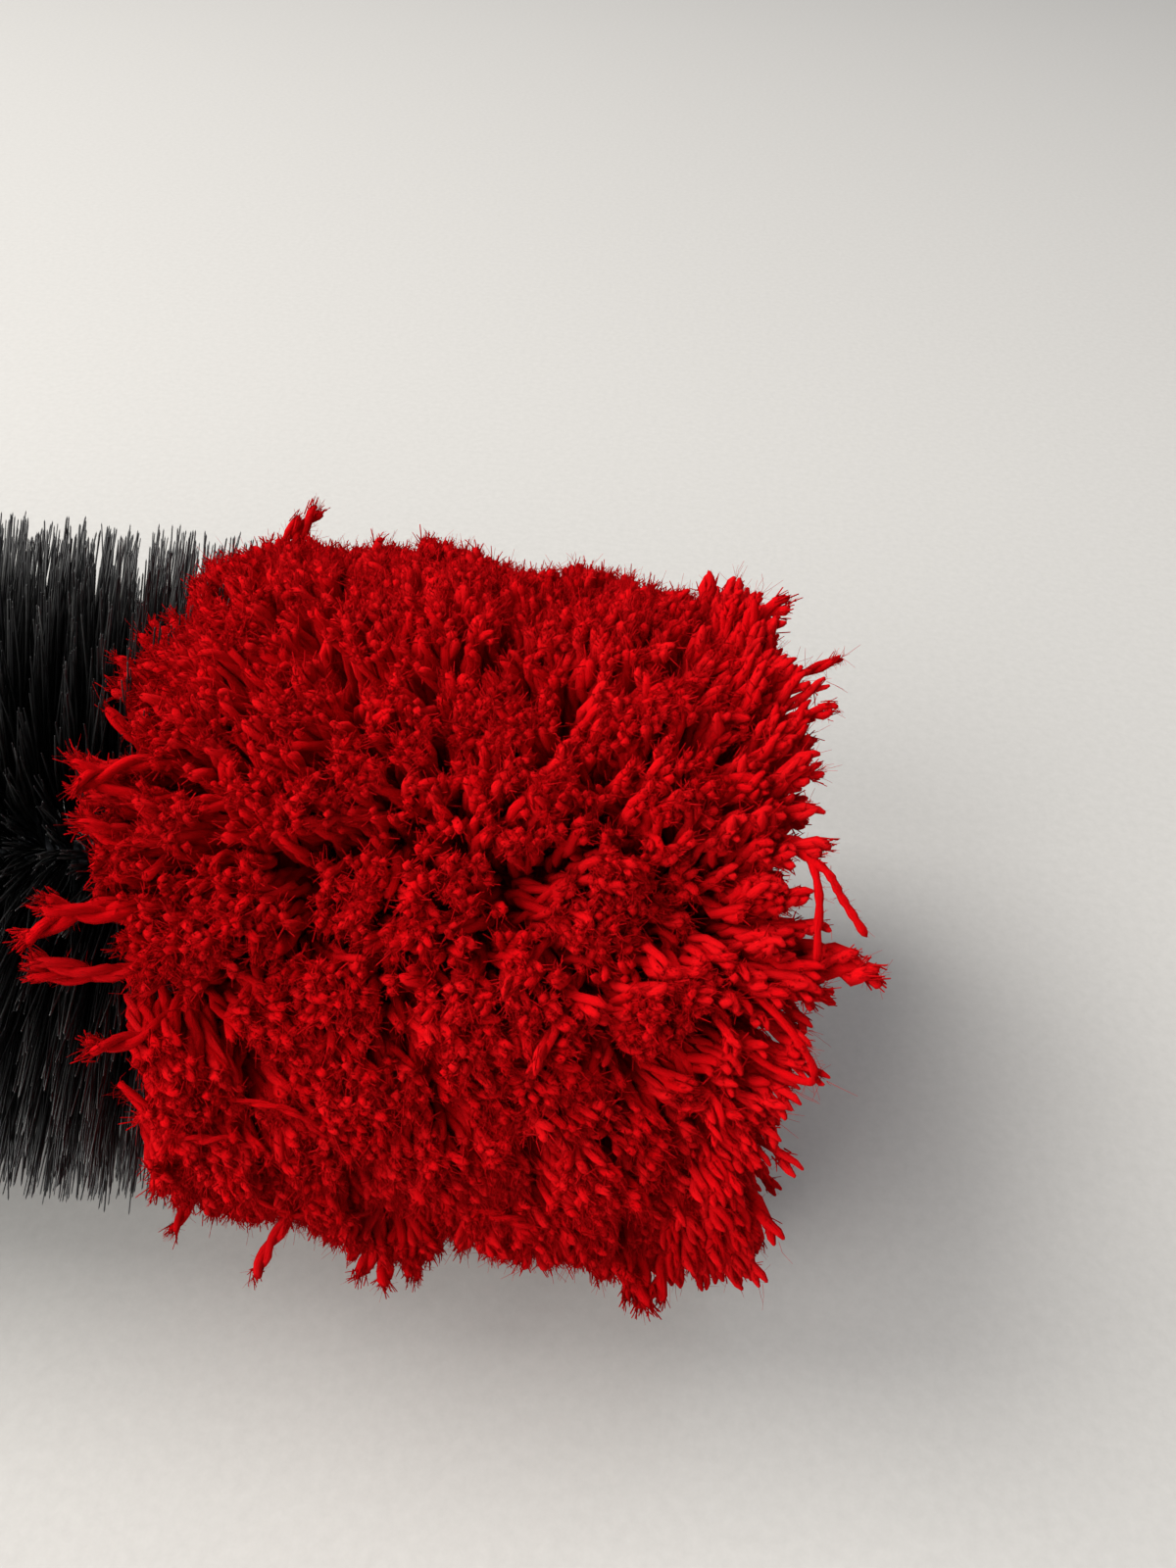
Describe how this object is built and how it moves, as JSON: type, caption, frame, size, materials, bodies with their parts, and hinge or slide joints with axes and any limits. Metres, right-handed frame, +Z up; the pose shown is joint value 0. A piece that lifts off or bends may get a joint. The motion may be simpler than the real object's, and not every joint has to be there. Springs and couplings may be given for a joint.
{
  "type": "yarn pom pom wand",
  "caption": "Cut-yarn pom on the end of a stiff bristle cylinder wound on a twisted wire stem, with a gripped handle and a swinging hang ring.",
  "frame": {"origin": "on the resting plane, under the middle of the overall length and on the stem's line", "axes": "+X along the stem from the hang ring to the pom, +Z up from the surface it lies on, +Y across"},
  "size_m": [0.368, 0.0708, 0.069],
  "materials": {
    "stem_wire": "bright drawn wire",
    "bristle": "stiff cut filament with a soft sheen",
    "yarn": "fuzzy two-ply yarn, cut ends",
    "ferrule_metal": "bright plated sheet",
    "pin_steel": "satin",
    "crimp_metal": "plain",
    "handle_plastic": "moulded, semi-gloss",
    "sleeve_rubber": "matt soft grip",
    "ring_metal": "plated wire"
  },
  "bodies": {
    "wand": {"core_wire": "stem_wire", "bristle_row_1": "bristle", "bristle_row_2": "bristle", "bristle_row_3": "bristle", "bristle_row_4": "bristle", "bristle_row_5": "bristle", "bristle_row_6": "bristle", "bristle_row_7": "bristle", "bristle_row_8": "bristle", "bristle_row_9": "bristle", "bristle_row_10": "bristle", "bristle_row_11": "bristle", "bristle_row_12": "bristle", "yarn_row_1": "yarn", "yarn_row_2": "yarn", "yarn_row_3": "yarn", "yarn_row_4": "yarn", "yarn_tip": "yarn", "ferrule": "ferrule_metal", "ferrule_tacks": "pin_steel", "wire_crimp": "crimp_metal", "handle_body": "handle_plastic", "grip_sleeve": "sleeve_rubber", "cap_pin": "pin_steel", "end_cap": "handle_plastic"},
    "ring": {"hang_ring": "ring_metal"}
  },
  "joints": [
    {"name": "ring_swing", "type": "hinge", "parent": "wand", "child": "ring", "pos_m": [-0.178, 0, 0.0336], "axis": [0, 1, 0], "range_deg": [-20, 200]}
  ]
}
